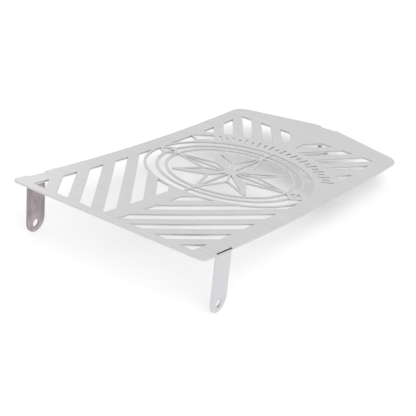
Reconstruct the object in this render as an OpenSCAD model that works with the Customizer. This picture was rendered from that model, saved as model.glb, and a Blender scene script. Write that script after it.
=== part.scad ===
// Radiator guard: one laser-cut stainless sheet, bent a little along its length, with a chevron grille,
// a compass rose in three rings, a scale band and three fold-down fixing tabs.
// The frame: X runs across the guard, Y from the straight end to the peaked end, Z up from the floor
// that the three tab ends stand on. The origin is on that floor, under the middle of the guard's box.

/* [Sheet] */
// Width across the two long edges
plate_w = 159; // [150:1:170]
// Length of the long edges, corner to corner
side_l = 302.7; // [298:1:312]
// How far the peaked end stands out past its corners
peak_h = 24; // [22:0.5:27]
// Thickness of the sheet
sheet_t = 1.5; // [1.2:0.1:2]
// Radius that the sheet is bent to along its length
bend_r = 2420; // [2000:20:4500]
// Radius of the two corners at the straight end
near_corner_r = 5; // [2:0.5:6]
// Radius of the two corners at the peaked end
far_corner_r = 13; // [8:0.5:14]
// Radius that rounds the peak
peak_r = 60; // [40:5:80]

/* [Borders] */
// Width of the solid border along each long edge
side_border = 13.1; // [12:0.1:15]
// Width of the solid border at the straight end
near_border = 7.9; // [7:0.1:10]
// Distance from the peaked end's corners to the last slots
far_border = 17.2; // [16:0.5:22]
// Width of the solid band down the middle
spine_w = 11.3; // [10:0.1:13]

/* [Chevron slots] */
// Angle of the slots from straight across
slot_angle = 57.3; // [56:0.1:59]
// Distance from one slot to the next, square to the slots
slot_pitch = 16.7; // [16.2:0.1:17.2]
// Width of a slot
slot_w = 8.2; // [7.4:0.1:9]
// Where the first slot's middle meets the guard's middle line, from the straight end
slot_start = -86.6; // [-89:0.1:-85]

/* [Rings and scale band] */
// Distance of the rings' centre from the straight end
ring_y = 161.4; // [159:0.2:165]
// Width of each ring's strip
ring_w = 2.2; // [2:0.1:2.6]
// Gap between the outer ring and the middle ring
outer_gap = 7.1; // [6:0.1:8.5]
// Gap between the middle ring and the inner ring
inner_gap = 5.1; // [4:0.1:6]
// Width of the scale band outside the outer ring
band_w = 21.5; // [19:0.5:24]
// Angle that the scale band covers to each side of the peaked end's direction
band_half_angle = 56; // [54:1:60]
// Distance from the outer ring to the middle of the scale
scale_out = 9.5; // [9:0.5:11]
// Number of graduations on the scale
tick_n = 23; // [11:2:25]
// Length of the long graduations
tick_l = 10; // [8:0.5:11]
// Width of a graduation
tick_w = 1.6; // [1.4:0.1:2]
// Angle of the open window at the left end of the scale
window_angle = 12.5; // [8:0.5:14]

/* [Compass rose] */
// How far the tips of the four long points run into the inner ring
long_sink = 1.7; // [0.5:0.1:2]
// Gap between the tips of the four short points and the inner ring
short_gap = 2.7; // [1.5:0.1:6]
// Distance of the star's inner corners from the centre, as a share of the inner ring's radius
waist_share = 0.413; // [0.38:0.001:0.45]
// Angle of those corners from the long points
waist_angle = 25.5; // [24:0.5:28]
// Width of the star's strips
star_w = 2; // [1.8:0.1:2.4]
// Half width of the spearheads that join the rings at both sides
spear_h = 9.5; // [8:0.5:11]
// How much of a spearhead is open
spear_open = 0.55; // [0.5:0.05:0.7]

/* [Fixing tabs] */
// Width of a side tab
tab_w = 18.2; // [17:0.2:21]
// Width of the end tab
end_tab_w = 14; // [13.6:0.2:18]
// How far the end tab stands to the right of the peak
end_tab_x = 2.4; // [0:0.2:4]
// Distance of the side tabs' middle from the straight end
tab_y = 25.4; // [23:0.2:30]
// Angle that the side tabs lean by towards the peaked end, from square to the sheet's edge
tab_lean = 10; // [6:0.5:11]
// Distance from the sheet's top to a side tab's hole
side_tab_drop = 38.8; // [36:0.2:42]
// Distance from the sheet's top to the end tab's hole
end_tab_drop = 17; // [15:0.2:20]
// Distance from a tab's hole to its rounded end
hole_to_end = 6.7; // [6.4:0.1:8]
// Diameter of the fixing holes
hole_d = 6.4; // [5.5:0.1:6.6]
// Inside radius of the tabs' folds
fold_r = 0.8; // [0.5:0.1:2]
// Width of the relief cuts beside each fold
relief_w = 0.5; // [0.4:0.1:1.6]

/* [Hidden] */
half_w = plate_w / 2;
field_x = half_w - side_border;
far_line = side_l - far_border;
ring_a_r = field_x + ring_w / 2;
ring_b_r = ring_a_r - ring_w - outer_gap;
ring_c_r = ring_b_r - ring_w - inner_gap;
band_r = ring_a_r + band_w;
scale_r = ring_a_r + scale_out;
rose_r = ring_c_r - ring_w;
long_tip = rose_r + long_sink;
short_tip = rose_r - short_gap;
waist_r = waist_share * ring_c_r;
apex_y = side_l + peak_h;
mid_y = apex_y / 2;
peak_angle = atan(peak_h / half_w);
peak_cut = peak_r / cos(peak_angle) - peak_r;
fold_out = fold_r + sheet_t;
relief_l = 0.5;
slot_step = slot_pitch / cos(slot_angle);
window_start = 1.5 - band_half_angle;
window_end = window_start + window_angle;
tick_gap = 4;
end_inset = 0.6;
bend_steps = 12;

// The sheet follows an arc around an axis above it. A place on it is given by an angle around that axis
function turn_at(y) = asin((y - mid_y) / bend_r);
// Height and distance along the guard of a point that is y, z from the sheet's underside at that angle
function place(a, y, z) = [
    (bend_r - z) * sin(a) + y * cos(a),
    bend_r - (bend_r - z) * cos(a) + y * sin(a)
];

side_turn = turn_at(tab_y);
end_turn = turn_at(apex_y - peak_cut - fold_out - end_inset);
// Half the turn of one flat step of the bend: each tab's fold is in the middle of a step
half_step = (end_turn - side_turn) / bend_steps / 2;
// Radius of a tab's round end, and where a tab's end and hole lie in its face: x along the fold, y up
function end_r(w, lean) = w / 2 * cos(lean);
function hole_at(drop, lean) = [(drop - fold_out) * tan(lean), sheet_t - drop];
function end_at(drop, w, lean) = hole_at(drop, lean) + (hole_to_end - end_r(w, lean)) * [sin(lean), -cos(lean)];

// The guard stands on its round ends: this tilts and lifts the sheet so that they all touch the floor
side_r = end_r(tab_w, tab_lean);
tip_r = end_tab_w / 2;
side_foot = place(side_turn, end_at(side_tab_drop, tab_w, tab_lean)[0], end_at(side_tab_drop, tab_w, tab_lean)[1]);
end_foot = place(end_turn, fold_out - sheet_t / 2, end_at(end_tab_drop, end_tab_w, 0)[1]);
feet = end_foot - side_foot;
stand_tilt = asin((tip_r - side_r) / norm(feet)) - atan(feet[1] / feet[0]);
function stood(p) = [
    p[0] * cos(stand_tilt) - p[1] * sin(stand_tilt),
    p[0] * sin(stand_tilt) + p[1] * cos(stand_tilt)
];
near_sag = bend_r - sqrt(bend_r * bend_r - mid_y * mid_y);
near_edge = stood([-mid_y, near_sag]);
end_fold = stood(place(end_turn, 0, sheet_t - fold_out));
lift = side_r - stood(side_foot)[1];
shift = -(near_edge[0] + end_fold[0] + fold_out) / 2;

// A corner p between two edges that leave it along the angles a1 and a2, outside a circle of radius r
module corner_trim(p, a1, a2, r) {
    half = (a2 - a1) / 2;
    mid = (a1 + a2) / 2;
    run = r / tan(half);
    c = p + r / sin(half) * [cos(mid), sin(mid)];
    difference() {
        polygon([
            p - [cos(mid), sin(mid)],
            p + run * [cos(a1), sin(a1)],
            c,
            p + run * [cos(a2), sin(a2)]
        ]);
        translate(c) circle(r, $fn = 96);
    }
}

// The flat outline, with y from the straight end
module outline() {
    difference() {
        polygon([
            [-half_w, 0], [half_w, 0], [half_w, side_l], [0, apex_y], [-half_w, side_l]
        ]);
        for (side = [0, 1]) mirror([side, 0]) {
            corner_trim([half_w, 0], 90, 180, near_corner_r);
            corner_trim([half_w, side_l], 180 - peak_angle, 270, far_corner_r);
        }
        corner_trim([0, apex_y], 180 + peak_angle, 360 - peak_angle, peak_r);
    }
}

// One straight slot of the chevrons, longer than its place at both ends
module slot(k) {
    translate([0, slot_start + k * slot_step]) rotate(slot_angle)
        translate([0, -slot_w / 2]) square([2 * half_w / cos(slot_angle), slot_w]);
}

// The chevron slots of the right half
module half_slots() {
    difference() {
        intersection() {
            translate([spine_w / 2, near_border]) square([field_x - spine_w / 2, far_line - near_border]);
            for (k = [0:11]) slot(k);
        }
        translate([0, ring_y]) circle(ring_a_r, $fn = 180);
        translate([0, ring_y]) square([half_w, band_r * cos(band_half_angle)]);
        scale_band();
    }
}

// A wedge between two angles from the peaked end's direction, at the rings' centre
module wedge(a1, a2) {
    translate([0, ring_y]) polygon([
        [0, 0],
        3 * band_r * [sin(a1), cos(a1)],
        3 * band_r / cos((a2 - a1) / 2) * [sin((a1 + a2) / 2), cos((a1 + a2) / 2)],
        3 * band_r * [sin(a2), cos(a2)]
    ]);
}

// The solid ring sector that the scale is cut in
module scale_band() {
    intersection() {
        translate([0, ring_y]) circle(band_r, $fn = 180);
        wedge(-band_half_angle, band_half_angle);
    }
}

// Graduations, long and short in turn, evenly spread to the right of the window
module graduations() {
    first = window_end + tick_gap;
    step = (band_half_angle - tick_gap - first) / (tick_n - 1);
    for (k = [0:tick_n - 1]) {
        l = k % 2 == 0 ? tick_l : tick_l * 0.6;
        translate([0, ring_y]) rotate(-first - k * step)
            translate([-tick_w / 2, scale_r - l / 2]) square([tick_w, l]);
    }
}

// The open window at the left end of the scale
module scale_window() {
    intersection() {
        translate([0, ring_y]) gap_ring(scale_r + tick_l / 2, scale_r - tick_l / 2);
        wedge(window_start, window_end);
        translate([-field_x, 0]) square([field_x, apex_y]);
    }
}

// The opening between the left border, the outer ring and the scale band's end
module side_opening() {
    difference() {
        intersection() {
            translate([-field_x, ring_y]) square([field_x, band_r]);
            wedge(-90, -band_half_angle);
        }
        translate([0, ring_y]) circle(ring_a_r, $fn = 180);
    }
}

// An open ring between two radii
module gap_ring(r_out, r_in) {
    difference() {
        circle(r_out, $fn = 180);
        circle(r_in, $fn = 180);
    }
}

// A straight strip between two points
module strip(a, b, w) {
    d = b - a;
    translate(a) rotate(atan2(d[1], d[0])) translate([0, -w / 2]) square([norm(d), w]);
}

// The eight-pointed star: outlines, middle ribs and one filled half in each short point
module star() {
    for (q = [0:3]) rotate(90 * q) {
        for (side = [-1, 1]) {
            waist = waist_r * [side * sin(waist_angle), cos(waist_angle)];
            short = short_tip * [side * sin(45), cos(45)];
            strip([0, 0], waist, star_w);
            strip(waist, [0, long_tip], star_w);
            strip(waist, short, star_w);
        }
        strip([0, 0], [0, long_tip], star_w);
        strip([0, 0], short_tip * [sin(45), cos(45)], star_w);
        polygon([[0, 0], waist_r * [sin(waist_angle), cos(waist_angle)], short_tip * [sin(45), cos(45)]]);
    }
    circle(waist_r / 4, $fn = 48);
}

// An open spearhead that joins the rings at the right of the star
module spearhead() {
    mid_r = (ring_a_r + rose_r) / 2;
    half_l = (ring_a_r - rose_r) / 2;
    translate([mid_r, 0]) difference() {
        polygon([[-half_l, 0], [0, spear_h], [half_l, 0], [0, -spear_h]]);
        polygon([
            [-half_l * spear_open, 0], [0, spear_h * spear_open],
            [half_l * spear_open, 0], [0, -spear_h * spear_open]
        ]);
    }
}

// What is left standing between the rings and inside them
module ring_filling() {
    star();
    for (side = [0, 1]) {
        mirror([side, 0]) spearhead();
        mirror([0, side]) strip([0, rose_r - 1], [0, ring_a_r - ring_w / 2], star_w);
    }
}

// Everything that is cut out of the rings' field
module ring_openings() {
    translate([0, ring_y]) difference() {
        union() {
            gap_ring(ring_a_r - ring_w, ring_b_r);
            gap_ring(ring_b_r - ring_w, ring_c_r);
            circle(rose_r, $fn = 180);
        }
        ring_filling();
    }
}

// The flat pattern between the borders
module pattern() {
    half_slots();
    mirror([1, 0]) half_slots();
    ring_openings();
    graduations();
    scale_window();
    side_opening();
}

// Moves a shape that sits on the sheet's underside to its place around the bend's axis
module around(a) {
    translate([0, 0, bend_r]) rotate([a, 0, 0]) translate([0, 0, -bend_r]) children();
}

// Places its children at the start of each side tab's fold, with x out from the sheet
module at_sides() {
    for (side = [0, 1]) mirror([side, 0])
        around(side_turn) translate([half_w - fold_out, 0, 0]) children();
}

// Places its children at the start of the end tab's fold
module at_end() {
    around(end_turn) translate([end_tab_x, 0, 0]) rotate([0, 0, 90]) children();
}

// The bent sheet before cutting, wider and longer than the guard: flat steps that touch the arc
module bent_shell() {
    turns = [for (k = [-5:2:2 * bend_steps + 3]) side_turn + k * half_step];
    function corner(a, z) = place(a, 0, bend_r - (bend_r - z) / cos(half_step));
    rotate([90, 0, 90]) linear_extrude(plate_w + 20, center = true) polygon(concat(
        [for (a = turns) corner(a, 0)],
        [for (k = [len(turns) - 1:-1:0]) corner(turns[k], sheet_t)]
    ));
}

// Room for a tab's fold and the relief cuts beside it
module fold_room(w) {
    translate([0, -w / 2 - relief_w, -10]) cube([30, w + 2 * relief_w, 20]);
    for (end = [-1, 1]) translate([-relief_l, end * (w + relief_w) / 2 - relief_w / 2, -10])
        cube([30, relief_w, 20]);
}

module plate() {
    difference() {
        intersection() {
            bent_shell();
            translate([0, -mid_y, -sheet_t]) linear_extrude(4 * near_sag) difference() {
                outline();
                pattern();
            }
        }
        at_sides() fold_room(tab_w);
        at_end() fold_room(end_tab_w);
    }
}

// The section of a fold and its tab: x runs out from the fold's start, y is the height, 0 at the underside
module fold_section(drop) {
    translate([0, sheet_t - fold_out]) intersection() {
        difference() {
            circle(fold_out, $fn = 96);
            circle(fold_r, $fn = 96);
        }
        square(fold_out);
    }
    translate([fold_r, sheet_t - drop]) square([sheet_t, drop - fold_out]);
}

// The face of a tab: straight at the fold, then leaning down to its round end
module tab_face(drop, w, lean) {
    c = end_at(drop, w, lean);
    polygon(concat(
        [[w / 2, 5], [-w / 2, 5], [-w / 2, sheet_t - fold_out]],
        [for (a = [180:6:360]) c + end_r(w, lean) * [cos(a + lean), sin(a + lean)]],
        [[w / 2, sheet_t - fold_out]]
    ));
}

// A tab that hangs from a fold along Y, with its drilled hole: the fold starts at x = 0
module tab(drop, w, lean) {
    h = hole_at(drop, lean);
    difference() {
        intersection() {
            rotate([90, 0, 0]) linear_extrude(3 * w, center = true) fold_section(drop + 2 * hole_to_end);
            rotate([90, 0, 90]) linear_extrude(fold_out) tab_face(drop, w, lean);
        }
        translate([0, h[0], h[1]]) rotate([0, 90, 0])
            cylinder(d = hole_d, h = 3 * fold_out, center = true, $fn = 64);
    }
}

// The guard in the plate's own frame
module bent_guard() {
    plate();
    at_sides() tab(side_tab_drop, tab_w, tab_lean);
    at_end() tab(end_tab_drop, end_tab_w, 0);
}

module guard() {
    color("#c9cdd2") translate([0, shift, lift]) rotate([stand_tilt, 0, 0]) bent_guard();
}

guard();
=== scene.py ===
"""Radiator guard: brushed stainless sheet on a pale floor, lit softly from all round."""

import math
from types import SimpleNamespace

import bpy
from mathutils import Matrix, Vector


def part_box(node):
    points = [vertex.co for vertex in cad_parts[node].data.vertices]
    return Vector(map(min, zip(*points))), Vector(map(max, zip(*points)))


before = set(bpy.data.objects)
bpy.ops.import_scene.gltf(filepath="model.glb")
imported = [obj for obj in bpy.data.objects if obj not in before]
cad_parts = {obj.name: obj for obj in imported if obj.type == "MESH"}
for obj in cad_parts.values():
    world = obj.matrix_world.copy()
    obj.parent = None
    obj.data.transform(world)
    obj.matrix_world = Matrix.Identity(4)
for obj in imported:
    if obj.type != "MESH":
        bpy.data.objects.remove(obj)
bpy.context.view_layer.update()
scene = bpy.context.scene

# Sizes of the CAD part, in metres
MM = 0.001
BEND_R = 2420 * MM
SHEET_T = 1.5 * MM
HALF_W = 79.5 * MM
FOLD_R = 0.8 * MM
FOLD_OUT = FOLD_R + SHEET_T
TAB_W = 18.2 * MM
NEAR_Y, END_FACE_Y = (corner[1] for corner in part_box("guard"))
PEAK_Y = END_FACE_Y + 3.3 * MM
PEAK_SLOPE = 24 * MM / HALF_W

# How the guard stands on its tabs, and where that puts the axis of its bend
STAND_TILT = math.radians(-4.5617)
STAND_SHIFT = 1.210 * MM
STAND_LIFT = 29.637 * MM
SIDE_TURN = math.radians(-3.2680)
AXIS_Y = STAND_SHIFT - BEND_R * math.sin(STAND_TILT)
AXIS_Z = STAND_LIFT + BEND_R * math.cos(STAND_TILT)

# Where the guard's regions end, with a little slack
SHEET_BOTTOM = SHEET_T + 0.15 * MM
TAB_TOP = FOLD_OUT + 0.2 * MM
TAB_SIDE = TAB_W / 2 + 0.1 * MM
SIDE_FOLD_X = HALF_W - FOLD_OUT - 0.05 * MM
END_FOLD_Y = END_FACE_Y - FOLD_OUT
RIM = 4 * MM

# Cosines from which a surface counts as facing some way
FACES = 0.9
FACES_END = 0.985
FACES_DOWN = -0.5
FACES_IN = -0.3
FOLLOWS_BEND = 0.9999

# Ramps: from where to where, in metres, radians or as a share, and from what to what if
# not from 0 to 1
LINE_LOW = math.radians(38), math.radians(43)
LINE_HIGH = math.radians(60), math.radians(65), 1.0, 0.0
MILL_SHADE = 4 * MM, 20 * MM, 0.4, 0.0
CUT_LOW_ZONE = 0.45 * SHEET_T, 0.75 * SHEET_T
CUT_LEFT = -0.5 * HALF_W, 0.5 * HALF_W, 0.92, 0.0
NEAR_EDGE = 0.97, 0.9999
BLOTCHED = 0.36, 0.64
SCRATCHED = 0.74, 0.8
# Painted white over the floor's shadow, by distance from the rose
PAINTED_WHITE_NEAR = 0.05, 0.24, 0.22, 0.75
PAINTED_WHITE_FAR = 0.25, 0.5, 0.0, 0.25
OVERHEAD = 0.3, 0.95, 0.0, 0.12

# Noise: its scale along x, y and z in 1/m, its detail and its roughness
GRAIN = (34.0, 2600.0, 34.0), 3.0, 0.6
STREAK = (6.0, 420.0, 6.0), 2.0, 0.5
FINE = (120.0, 5200.0, 120.0), 2.0, 0.5
CLOUD = (9.0, 9.0, 9.0), 3.0, 0.55
BLOTCH = (60.0, 60.0, 34.0), 5.0, 0.7
SCRATCHES = (11.0, 1100.0, 11.0), 1.0, 0.5
STRIAE = (3000.0, 3000.0, 260.0), 2.0, 0.5
TOOTH = (400.0, 400.0, 400.0), 2.0, 0.5

# Roughness, and what grain, cloudiness, the mill finish and the cut walls add to it
ROUGH, ROUGH_GRAIN, ROUGH_CLOUD, ROUGH_MILL, ROUGH_CUT = 0.24, 0.1, 0.06, 0.1, 0.16
BUMP, BUMP_HEIGHT = 0.12, 0.02 * MM
EDGE_RADIUS = 0.18 * MM

# Colours, linear, darkest and lightest where there are two
SATIN = (0.553, 0.549, 0.561, 1), (0.692, 0.687, 0.7, 1)
# Lilac tint on the tabs' outer faces, made lighter as a painted reflection
TAB_TINT_AND_SHEEN = (0.69, 0.67, 0.715, 1)
SCRATCH = (0.82, 0.82, 0.83, 1)
MILL = (0.335, 0.294, 0.303, 1), (0.565, 0.496, 0.507, 1)
# Painted shade on the tabs' mill finish just under the folds
MILL_PAINTED_SHADE = (0.25, 0.216, 0.226, 1)
# Cut walls inside the openings: partly burn, partly painted shade
CUT_BURN_AND_SHADE = (0.45, 0.443, 0.45, 1), (0.65, 0.643, 0.65, 1)
CUT_LOW = (0.84, 0.835, 0.84, 1)
# Cut walls round the outline, without that painted shade
CUT_RIM_BURN_UNSHADED = (0.6, 0.59, 0.6, 1), (0.76, 0.75, 0.76, 1)
CUT_TAB = (0.58, 0.575, 0.585, 1), (0.78, 0.775, 0.785, 1)
CUT_TINT = (0.3, 0.265, 0.275, 1)
# A painted dark reflection along the crest of the side tabs' folds
FOLD_DARK_REFLECTION = (0.012, 0.01, 0.012, 1)
# Lighter edges: partly wear, partly a painted highlight
WORN_AND_HIGHLIGHT = (0.82, 0.82, 0.825, 1)
PAPER = (0.93, 0.93, 0.93, 1), (0.95, 0.95, 0.95, 1)
WHITE = (1, 1, 1, 1)

# The floor keeps most of its shadow near this point, under the far part of the rose
ROSE_SHADE = (-45 * MM, 85 * MM, 0.0)
FLOOR_SIZE = 9.0

ROOM_LEVEL = 0.85
LAMP_AIM = (0, 0, 0.03)

# The photograph's frame, in pixels, and Blender's standard sensor, in millimetres
PICTURE = 416
SENSOR = 36.0


class Nodes:
    """Short calls that build a node tree. A value is a number, a tuple or a node's output."""

    def __init__(self, tree):
        self.tree = tree

    def add(self, kind, **props):
        node = self.tree.nodes.new(kind)
        for key, value in props.items():
            setattr(node, key, value)
        return node

    def put(self, socket, value):
        if isinstance(value, bpy.types.NodeSocket):
            self.tree.links.new(value, socket)
        else:
            socket.default_value = value

    def fill(self, node, *values):
        """Gives the node's first inputs these values."""
        for socket, value in zip(node.inputs, values):
            self.put(socket, value)
        return node

    def math(self, operation, *values, clamp=False):
        node = self.add("ShaderNodeMath", operation=operation, use_clamp=clamp)
        return self.fill(node, *values).outputs[0]

    def plus(self, a, b, clamp=False):
        return self.math("ADD", a, b, clamp=clamp)

    def minus(self, a, b):
        return self.math("SUBTRACT", a, b)

    def times(self, a, b):
        return self.math("MULTIPLY", a, b)

    def size(self, value):
        return self.math("ABSOLUTE", value)

    def over(self, value, limit):
        return self.math("GREATER_THAN", value, limit)

    def under(self, value, limit):
        return self.math("LESS_THAN", value, limit)

    def either(self, a, b):
        return self.plus(a, b, clamp=True)

    def without(self, mask):
        return self.minus(1.0, mask)

    def vector(self, operation, *values):
        node = self.add("ShaderNodeVectorMath", operation=operation)
        gives = "Value" if operation in ("DOT_PRODUCT", "LENGTH") else "Vector"
        return self.fill(node, *values).outputs[gives]

    def scale(self, vector, factor):
        node = self.fill(self.add("ShaderNodeVectorMath", operation="SCALE"), vector)
        self.put(node.inputs["Scale"], factor)
        return node.outputs["Vector"]

    def combine(self, x, y, z):
        return self.fill(self.add("ShaderNodeCombineXYZ"), x, y, z).outputs[0]

    def split(self, vector):
        return self.fill(self.add("ShaderNodeSeparateXYZ"), vector).outputs

    def ramp(self, value, low, high, out_low=0.0, out_high=1.0):
        """A smooth step from out_low at low to out_high at high."""
        node = self.add("ShaderNodeMapRange", interpolation_type="SMOOTHSTEP")
        return self.fill(node, value, low, high, out_low, out_high).outputs[0]

    def noise(self, vector, scale, detail=2.0, roughness=0.5):
        """Noise whose three axes each have their own scale, in 1/m."""
        node = self.add("ShaderNodeTexNoise")
        self.put(node.inputs["Vector"], self.vector("MULTIPLY", vector, scale))
        self.put(node.inputs["Scale"], 1.0)
        self.put(node.inputs["Detail"], detail)
        self.put(node.inputs["Roughness"], roughness)
        return node.outputs["Fac"]

    def mix(self, data_type, factor, a, b):
        """a where factor is 0 and b where it is 1."""
        node = self.add("ShaderNodeMix", data_type=data_type)
        first, out = {"VECTOR": (4, 1), "RGBA": (6, 2)}[data_type]
        self.put(node.inputs["Factor"], factor)
        self.put(node.inputs[first], a)
        self.put(node.inputs[first + 1], b)
        return node.outputs[out]

    def blend(self, factor, a, b):
        return self.mix("RGBA", factor, a, b)

    def mix_shader(self, factor, a, b):
        return self.fill(self.add("ShaderNodeMixShader"), factor, a, b).outputs[0]

    def seen(self):
        """1 for the rays by which the camera, the metal or glass sees something."""
        path = self.add("ShaderNodeLightPath").outputs
        seen = self.math("MAXIMUM", path["Is Camera Ray"], path["Is Glossy Ray"])
        return self.math("MAXIMUM", seen, path["Is Transmission Ray"])


def new_material(name):
    """A material, the calls that build on its tree, and its shader."""
    material = bpy.data.materials.new(name)
    material.use_nodes = True
    n = Nodes(material.node_tree)
    return material, n, n.tree.nodes["Principled BSDF"]


def sheet_masks(n, place, normal):
    """Where a point is on the guard, mostly as masks that are 0 or 1."""
    m = SimpleNamespace()
    m.x, m.y, m.z = n.split(place)
    nx, ny, _ = n.split(normal)
    m.ax = n.size(m.x)

    # Its depth below the top face, and how far its face looks up the bend
    to_axis = n.combine(0.0, n.minus(AXIS_Y, m.y), n.minus(AXIS_Z, m.z))
    m.up = n.vector("NORMALIZE", to_axis)
    m.facing_up = n.vector("DOT_PRODUCT", normal, m.up)
    m.depth = n.minus(n.vector("LENGTH", to_axis), BEND_R - SHEET_T)
    m.in_sheet = n.under(m.depth, SHEET_BOTTOM)
    m.low_tab = n.over(m.depth, TAB_TOP)
    m.at_side_tab = n.over(m.ax, SIDE_FOLD_X)
    m.at_end_tab = n.over(m.y, END_FOLD_Y)

    # The duller side: below the plate, and on the inner faces of the tabs
    below = n.times(n.under(m.facing_up, FACES_DOWN), m.in_sheet)
    to_middle = n.under(n.times(nx, n.math("SIGN", m.x)), FACES_IN)
    inner_side = n.times(to_middle, m.at_side_tab)
    inner_end = n.times(n.under(ny, FACES_IN), m.at_end_tab)
    inner = n.times(n.either(inner_side, inner_end), n.without(m.in_sheet))
    m.dull = n.either(below, inner)

    # Laser-cut walls: across the sheet's thickness, and round the tabs
    on_face = n.over(n.size(m.facing_up), FACES)
    plate_wall = n.times(m.in_sheet, n.without(on_face))
    flat_end = n.times(m.at_end_tab, n.over(n.size(ny), FACES_END))
    flat_tab = n.either(n.over(n.size(nx), FACES), flat_end)
    m.tab_wall = n.times(m.low_tab, n.without(flat_tab))
    m.wall = n.either(plate_wall, m.tab_wall)

    # The outline: the sides, the straight end and the peaked end
    to_peak = n.plus(m.y, n.times(m.ax, PEAK_SLOPE))
    rim = n.plus(n.over(m.ax, HALF_W - RIM), n.under(m.y, NEAR_Y + RIM))
    m.rim = n.either(rim, n.over(to_peak, PEAK_Y - RIM))
    return m


def painted_fold_reflection(n, m):
    """A painted dark reflection along the crest of the side tabs' folds."""
    turn = STAND_TILT + SIDE_TURN
    from_y = n.minus(m.y, AXIS_Y)
    from_z = n.minus(m.z, AXIS_Z)
    drop = n.minus(n.times(from_y, math.sin(turn)), n.times(from_z, math.cos(turn)))
    along = n.plus(n.times(from_y, math.cos(turn)), n.times(from_z, math.sin(turn)))

    # The place round the fold's own axis
    rise = n.plus(n.minus(BEND_R, drop), FOLD_OUT - SHEET_T)
    run = n.minus(m.ax, HALF_W - FOLD_OUT)
    angle = n.math("ARCTAN2", rise, run)
    radius = n.math("SQRT", n.plus(n.times(rise, rise), n.times(run, run)))
    crest = n.times(n.ramp(angle, *LINE_LOW), n.ramp(angle, *LINE_HIGH))
    outer = n.over(radius, FOLD_R + 0.7 * SHEET_T)
    in_tab = n.under(n.size(along), TAB_SIDE)
    return n.times(n.times(crest, outer), n.times(in_tab, m.at_side_tab))


def sheet_texture(n, m, place):
    """Grain across the guard, so that it runs down the side tabs, and what lies over it."""
    t = SimpleNamespace()
    # The place in the sheet before it was folded: down the end tab, z goes on where y ends
    blank = n.combine(m.x, n.plus(m.y, n.times(m.z, m.at_end_tab)), m.z)
    t.grain = n.noise(blank, *GRAIN)
    t.streak = n.noise(blank, *STREAK)
    t.fine = n.noise(blank, *FINE)
    t.scratch = n.ramp(n.noise(blank, *SCRATCHES), *SCRATCHED)
    t.cloud = n.noise(place, *CLOUD)
    t.blotch = n.ramp(n.noise(place, *BLOTCH), *BLOTCHED)
    t.striae = n.noise(place, *STRIAE)
    return t


def sheet_colour(n, m, t):
    """Satin above, brownish mill below, cut walls; painted sheen, shade and dark fold
    reflection.
    """
    tone = n.plus(n.times(n.minus(t.grain, 0.5), 0.9), n.times(n.minus(t.streak, 0.5), 0.9))
    tone = n.plus(tone, n.times(n.minus(t.cloud, 0.5), 0.5))
    bright = n.blend(n.plus(tone, 0.5, clamp=True), *SATIN)
    bright = n.blend(n.times(t.scratch, 0.25), bright, SCRATCH)
    # The tabs' outer faces are tinted lilac and lighter, the extra lightness a painted
    # reflection
    bright = n.blend(n.times(m.low_tab, 0.5), bright, TAB_TINT_AND_SHEEN)
    # On the tabs just under the folds the mill finish is darker: painted shade under the plate
    mill = n.blend(n.ramp(m.depth, *MILL_SHADE), n.blend(t.blotch, *MILL), MILL_PAINTED_SHADE)

    # The cut is lighter in its lower part and round the outline, and browner on the left tab
    # Inside the openings the cut is darker, partly burn and partly painted shade
    cut = n.blend(n.ramp(m.depth, *CUT_LOW_ZONE), n.blend(t.striae, *CUT_BURN_AND_SHADE), CUT_LOW)
    cut = n.blend(n.times(m.rim, m.in_sheet), cut, n.blend(t.striae, *CUT_RIM_BURN_UNSHADED))
    cut = n.blend(m.tab_wall, cut, n.blend(t.striae, *CUT_TAB))
    cut = n.blend(n.times(m.tab_wall, n.ramp(m.x, *CUT_LEFT)), cut, CUT_TINT)

    colour = n.blend(m.dull, bright, mill)
    colour = n.blend(m.wall, colour, cut)
    # A painted dark reflection along the crest of the side tabs' folds
    return n.blend(n.times(painted_fold_reflection(n, m), 0.97), colour, FOLD_DARK_REFLECTION)


def brushed_sheet():
    """Satin stainless: grain across the guard, mill finish below, cut walls, edges lightened
    by wear and a painted highlight.
    """
    material, n, shader = new_material("brushed_stainless")
    place = n.add("ShaderNodeTexCoord").outputs["Object"]
    normal = n.add("ShaderNodeNewGeometry").outputs["Normal"]
    m = sheet_masks(n, place, normal)
    t = sheet_texture(n, m, place)

    # Sharp edges are rounded, and lightened a little: partly wear, partly a painted highlight
    edge = n.add("ShaderNodeBevel", samples=4)
    n.put(edge.inputs["Radius"], EDGE_RADIUS)
    off_edge = n.ramp(n.vector("DOT_PRODUCT", edge.outputs[0], normal), *NEAR_EDGE)
    worn_and_highlight = n.times(n.without(off_edge), n.times(t.grain, 0.5))
    n.put(shader.inputs["Base Color"], n.blend(worn_and_highlight, sheet_colour(n, m, t), WORN_AND_HIGHLIGHT))

    rough = n.plus(ROUGH, n.plus(n.times(t.grain, ROUGH_GRAIN), n.times(t.cloud, ROUGH_CLOUD)))
    rough = n.plus(rough, n.times(m.dull, ROUGH_MILL))
    rough = n.plus(rough, n.times(m.wall, ROUGH_CUT))
    n.put(shader.inputs["Roughness"], rough)
    n.put(shader.inputs["Metallic"], 1.0)

    # The CAD bend is made in steps: a face that follows it is shaded along the true arc
    smooth = n.scale(m.up, n.math("SIGN", m.facing_up))
    follows = n.over(n.size(m.facing_up), FOLLOWS_BEND)
    shaded = n.mix("VECTOR", n.times(follows, off_edge), edge.outputs[0], smooth)
    relief = n.plus(t.grain, n.times(t.fine, 0.5))
    relief = n.plus(relief, n.times(n.times(t.striae, m.wall), 3.0))
    bump = n.add("ShaderNodeBump")
    n.put(bump.inputs["Strength"], BUMP)
    n.put(bump.inputs["Distance"], BUMP_HEIGHT)
    n.put(bump.inputs["Height"], relief)
    n.put(bump.inputs["Normal"], shaded)
    n.put(shader.inputs["Normal"], bump.outputs[0])
    return material


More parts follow.
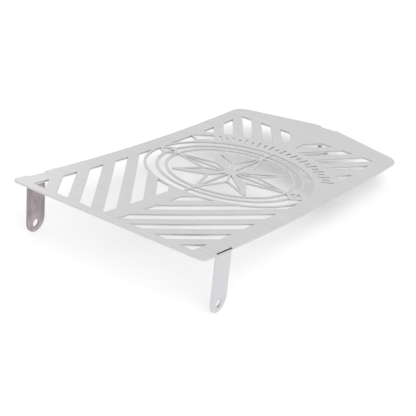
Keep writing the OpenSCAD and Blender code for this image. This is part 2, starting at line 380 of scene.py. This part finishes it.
def paper_floor():
    """A pale floor with a trace of tooth, white where no shadow falls, its shadow lifted by
    painted white.
    """
    material, n, shader = new_material("pale_floor")
    place = n.add("ShaderNodeTexCoord").outputs["Object"]
    n.put(shader.inputs["Base Color"], n.blend(n.noise(place, *TOOTH), *PAPER))
    n.put(shader.inputs["Roughness"], 1.0)
    n.put(shader.inputs["Specular IOR Level"], 0.0)

    # Painted light: the camera and the metal see a share of plain white, which grows away from
    # the rose
    from_rose = n.vector("LENGTH", n.vector("SUBTRACT", place, ROSE_SHADE))
    away = n.plus(n.ramp(from_rose, *PAINTED_WHITE_NEAR), n.ramp(from_rose, *PAINTED_WHITE_FAR))
    share = n.times(n.seen(), away)
    white = n.add("ShaderNodeEmission").outputs[0]
    floor_shader = n.mix_shader(share, shader.outputs[0], white)
    n.put(n.tree.nodes["Material Output"].inputs["Surface"], floor_shader)
    return material


def world_light(level):
    """A white room for what sees it, which lights diffuse surfaces at level."""
    world = bpy.data.worlds.new("room")
    world.use_nodes = True
    scene.world = world
    world.node_tree.nodes.clear()
    n = Nodes(world.node_tree)
    lit = n.fill(n.add("ShaderNodeBackground"), WHITE, level).outputs[0]

    # The metal sees it a little darker overhead, so that it has some shape from every side
    up = n.split(n.add("ShaderNodeTexCoord").outputs["Generated"])[2]
    glossy = n.add("ShaderNodeLightPath").outputs["Is Glossy Ray"]
    dimming = n.times(n.ramp(up, *OVERHEAD), glossy)
    white = n.fill(n.add("ShaderNodeBackground"), WHITE, n.without(dimming)).outputs[0]
    out = n.add("ShaderNodeOutputWorld")
    n.put(out.inputs["Surface"], n.mix_shader(n.seen(), lit, white))


def softbox(name, place, width, height, radiance, glossy=True):
    """A rectangular lamp that looks at the guard, which reflects it only if glossy is true."""
    lamp = bpy.data.lights.new(name, "AREA")
    lamp.shape = "RECTANGLE"
    lamp.size, lamp.size_y = width, height
    lamp.energy = radiance * math.pi * width * height
    obj = bpy.data.objects.new(name, lamp)
    scene.collection.objects.link(obj)
    obj.visible_glossy = glossy
    obj.location = place
    look = Vector(LAMP_AIM) - Vector(place)
    obj.rotation_euler = look.to_track_quat("-Z", "Y").to_euler()


def aim_camera(place, azimuth, elevation, roll, focal, shift_x):
    """The photograph's camera: angles in degrees, focal length in the picture's pixels."""
    a, e, r = (math.radians(v) for v in (azimuth, elevation, roll))
    back = Vector((math.sin(a) * math.cos(e), -math.cos(a) * math.cos(e), math.sin(e)))
    level = Vector((0, 0, 1)).cross(back).normalized()
    above = back.cross(level)
    right = level * math.cos(r) + above * math.sin(r)
    up = above * math.cos(r) - level * math.sin(r)
    data = bpy.data.cameras.new("camera")
    data.sensor_width = SENSOR
    data.lens = focal / PICTURE * SENSOR
    data.shift_x = shift_x
    data.clip_start, data.clip_end = 0.01, 50.0
    camera = bpy.data.objects.new("camera", data)
    scene.collection.objects.link(camera)
    camera.matrix_world = Matrix((
        (right.x, up.x, back.x, place[0]),
        (right.y, up.y, back.y, place[1]),
        (right.z, up.z, back.z, place[2]),
        (0, 0, 0, 1),
    ))
    scene.camera = camera


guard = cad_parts["guard"]
guard.data.materials.clear()
guard.data.materials.append(brushed_sheet())

bpy.ops.mesh.primitive_grid_add(
    x_subdivisions=8, y_subdivisions=8, size=FLOOR_SIZE, location=(0, 0, 0))
floor = bpy.context.object
floor.name = "floor"
floor.data.materials.append(paper_floor())

world_light(ROOM_LEVEL)
softbox("key", place=(0.85, -0.9, 1.25), width=1.3, height=1.3, radiance=4.3, glossy=False)
softbox("left_window", place=(-1.35, 1.05, 0.4), width=0.7, height=0.6, radiance=0.35)

aim_camera(place=(0.37363, -0.66723, 0.37064), azimuth=31.027, elevation=26.058, roll=6.808,
           focal=1083.12, shift_x=0.03)

scene.view_settings.view_transform = "Standard"
